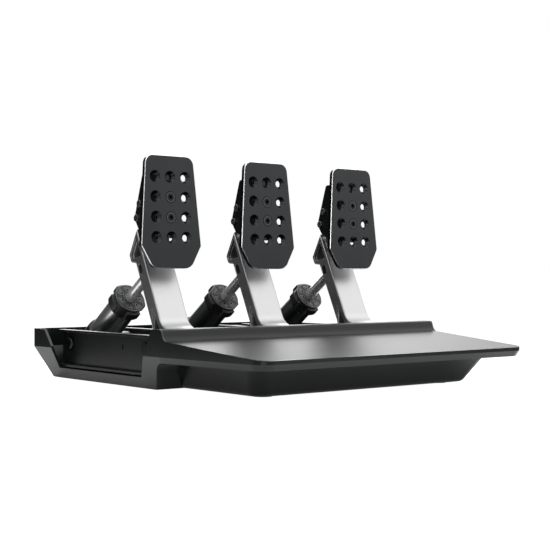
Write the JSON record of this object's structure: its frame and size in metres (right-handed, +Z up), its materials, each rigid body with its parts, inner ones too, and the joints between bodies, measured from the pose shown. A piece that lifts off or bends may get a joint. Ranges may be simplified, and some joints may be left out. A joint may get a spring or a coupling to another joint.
{
  "type": "sim racing pedal set",
  "caption": "Floor pedal set for a racing simulator: perforated plates on leaning arms that push rods into sprung cylinders, in a shallow base tray with a sloped heel plate.",
  "frame": {"origin": "on the floor under the middle of the base, feet at Z = 0", "axes": "+X to the driver's right, +Y away from the driver, +Z up"},
  "size_m": [0.358, 0.382, 0.2283],
  "materials": {
    "tray": "satin dark coat",
    "heel": "satin anodised",
    "black_steel": "satin black",
    "arm": "satin cast",
    "plate": "anodised black",
    "screw": "blackened",
    "bright_steel": "turned",
    "rod": "polished",
    "bright_tube": "satin turned",
    "dark_tube": "anodised dark",
    "bush": "plain bronze",
    "knob": "moulded",
    "plastic": "moulded",
    "board": "circuit board",
    "rubber": "matt",
    "elastomer": "matt"
  },
  "bodies": {
    "base": {"base_tray": "tray", "heel_plate": "heel", "heel_plate_screws": "screw", "rubber_feet": "rubber", "bracket_screws": "screw", "pivot_bushes": "bush", "trunnion_bolts": "screw", "trunnion_nuts": "screw", "sensor_housings": "plastic", "controller_box": "plastic", "controller_lid": "plastic", "controller_board": "board", "data_socket": "bright_steel", "clutch_bracket": "black_steel", "brake_bracket": "black_steel", "throttle_bracket": "black_steel"},
    "clutch_pedal": {"clutch_arm": "arm", "clutch_pivot_shaft": "bright_steel", "clutch_rod_pin": "bright_steel", "clutch_plate_bracket": "black_steel", "clutch_bracket_bolts": "screw", "clutch_plate": "plate", "clutch_plate_screws": "screw"},
    "clutch_cylinder": {"clutch_tube": "bright_tube", "clutch_lower_cap": "dark_tube", "clutch_spring": "bright_steel"},
    "clutch_push_rod": {"clutch_rod": "rod", "clutch_piston": "plastic"},
    "clutch_preload": {"clutch_knob": "knob"},
    "brake_pedal": {"brake_arm": "arm", "brake_pivot_shaft": "bright_steel", "brake_rod_pin": "bright_steel", "brake_plate_bracket": "black_steel", "brake_bracket_bolts": "screw", "brake_plate": "plate", "brake_plate_screws": "screw"},
    "brake_cylinder": {"brake_tube": "dark_tube", "brake_lower_cap": "dark_tube", "brake_rubbers": "elastomer", "brake_washers": "bright_steel"},
    "brake_push_rod": {"brake_rod": "rod", "brake_piston": "plastic"},
    "brake_preload": {"brake_knob": "knob"},
    "throttle_pedal": {"throttle_arm": "arm", "throttle_pivot_shaft": "bright_steel", "throttle_rod_pin": "bright_steel", "throttle_plate_bracket": "black_steel", "throttle_bracket_bolts": "screw", "throttle_plate": "plate", "throttle_plate_screws": "screw"},
    "throttle_cylinder": {"throttle_tube": "dark_tube", "throttle_lower_cap": "dark_tube", "throttle_spring": "bright_steel"},
    "throttle_push_rod": {"throttle_rod": "rod", "throttle_piston": "plastic"},
    "throttle_preload": {"throttle_knob": "knob"}
  },
  "joints": [
    {"name": "clutch_pedal_swing", "type": "hinge", "parent": "base", "child": "clutch_pedal", "pos_m": [-0.1222, 0.0031, 0.039], "axis": [-1, 0, 0], "range_deg": [0, 15], "stiffness_Nm_per_rad": 40, "springref_deg": -6.88},
    {"name": "clutch_cylinder_swing", "type": "hinge", "parent": "base", "child": "clutch_cylinder", "pos_m": [-0.1222, 0.1445, 0.0379], "axis": [-1, 0, 0], "range_deg": [0, 0.53]},
    {"name": "clutch_rod_slide", "type": "slide", "parent": "clutch_cylinder", "child": "clutch_push_rod", "axis": [0, 0.8146, -0.58], "range_m": [0, 0.0231], "deforming": ["clutch_spring"]},
    {"name": "clutch_preload_turn", "type": "hinge", "parent": "clutch_cylinder", "child": "clutch_preload", "pos_m": [-0.1222, 0.14815, 0.04303], "axis": [0, -0.8146, 0.58], "continuous": true},
    {"name": "brake_pedal_swing", "type": "hinge", "parent": "base", "child": "brake_pedal", "pos_m": [0, 0.0031, 0.039], "axis": [-1, 0, 0], "range_deg": [0, 6], "stiffness_Nm_per_rad": 120, "springref_deg": -3.44},
    {"name": "brake_cylinder_swing", "type": "hinge", "parent": "base", "child": "brake_cylinder", "pos_m": [0, 0.1445, 0.0379], "axis": [-1, 0, 0], "range_deg": [0, 0.48]},
    {"name": "brake_rod_slide", "type": "slide", "parent": "brake_cylinder", "child": "brake_push_rod", "axis": [0, 0.8146, -0.58], "range_m": [0, 0.0092], "deforming": ["brake_rubbers"]},
    {"name": "brake_preload_turn", "type": "hinge", "parent": "brake_cylinder", "child": "brake_preload", "pos_m": [0, 0.14815, 0.04303], "axis": [0, -0.8146, 0.58], "continuous": true},
    {"name": "throttle_pedal_swing", "type": "hinge", "parent": "base", "child": "throttle_pedal", "pos_m": [0.1222, 0.0031, 0.039], "axis": [-1, 0, 0], "range_deg": [0, 14], "stiffness_Nm_per_rad": 25, "springref_deg": -6.88},
    {"name": "throttle_cylinder_swing", "type": "hinge", "parent": "base", "child": "throttle_cylinder", "pos_m": [0.1222, 0.1445, 0.0379], "axis": [-1, 0, 0], "range_deg": [0, 0.57]},
    {"name": "throttle_rod_slide", "type": "slide", "parent": "throttle_cylinder", "child": "throttle_push_rod", "axis": [0, 0.8146, -0.58], "range_m": [0, 0.0216], "deforming": ["throttle_spring"]},
    {"name": "throttle_preload_turn", "type": "hinge", "parent": "throttle_cylinder", "child": "throttle_preload", "pos_m": [0.1222, 0.14815, 0.04303], "axis": [0, -0.8146, 0.58], "continuous": true}
  ],
  "couplings": [
    {"joint": "clutch_cylinder_swing", "follows": "clutch_pedal_swing", "ratio": 0.034715},
    {"joint": "clutch_rod_slide", "follows": "clutch_pedal_swing", "m_per_rad": 0.087885},
    {"joint": "brake_cylinder_swing", "follows": "brake_pedal_swing", "ratio": 0.078645},
    {"joint": "brake_rod_slide", "follows": "brake_pedal_swing", "m_per_rad": 0.087352},
    {"joint": "throttle_cylinder_swing", "follows": "throttle_pedal_swing", "ratio": 0.040046},
    {"joint": "throttle_rod_slide", "follows": "throttle_pedal_swing", "m_per_rad": 0.087849}
  ]
}
